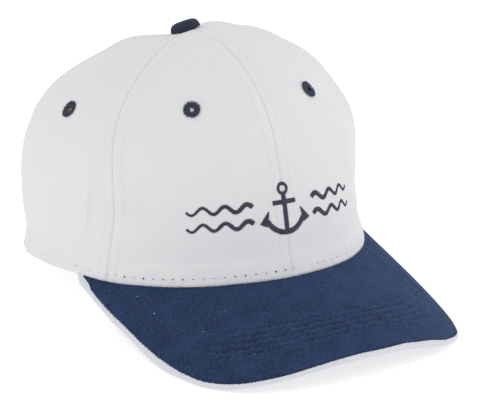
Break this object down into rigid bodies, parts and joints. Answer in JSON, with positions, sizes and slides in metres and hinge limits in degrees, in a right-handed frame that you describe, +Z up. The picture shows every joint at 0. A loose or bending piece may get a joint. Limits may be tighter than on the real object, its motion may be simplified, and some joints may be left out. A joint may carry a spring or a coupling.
{
  "type": "skipper cap",
  "caption": "Soft cloth skipper cap: a domed panelled crown with thread eyelets and a covered top button, and a wide curved peak edged with piping.",
  "frame": {"origin": "centre of the cap's bounding box, at the level of the surface it rests on", "axes": "+Y towards the back of the cap, the peak to -Y; +Z up; +X to the wearer's left"},
  "size_m": [0.1826, 0.2742, 0.1422],
  "materials": {
    "crown_cloth": "matte white cotton twill",
    "peak_cloth": "matte navy cotton twill",
    "piping_cloth": "matte white cotton",
    "band_cloth": "matte white cotton",
    "eyelet_thread": "navy thread with a low sheen",
    "button_cloth": "matte navy cotton"
  },
  "bodies": {
    "root": {"front_panel_right": "crown_cloth", "front_panel_left": "crown_cloth", "side_panel_right": "crown_cloth", "side_panel_left": "crown_cloth", "back_panel_right": "crown_cloth", "back_panel_left": "crown_cloth", "front_eyelet_right": "eyelet_thread", "front_eyelet_left": "eyelet_thread", "side_eyelet_right": "eyelet_thread", "side_eyelet_left": "eyelet_thread", "back_eyelet_right": "eyelet_thread", "back_eyelet_left": "eyelet_thread", "top_button": "button_cloth", "peak_top": "peak_cloth", "peak_piping": "piping_cloth", "peak_underside": "peak_cloth", "sweatband": "band_cloth"}
  },
  "joints": []
}
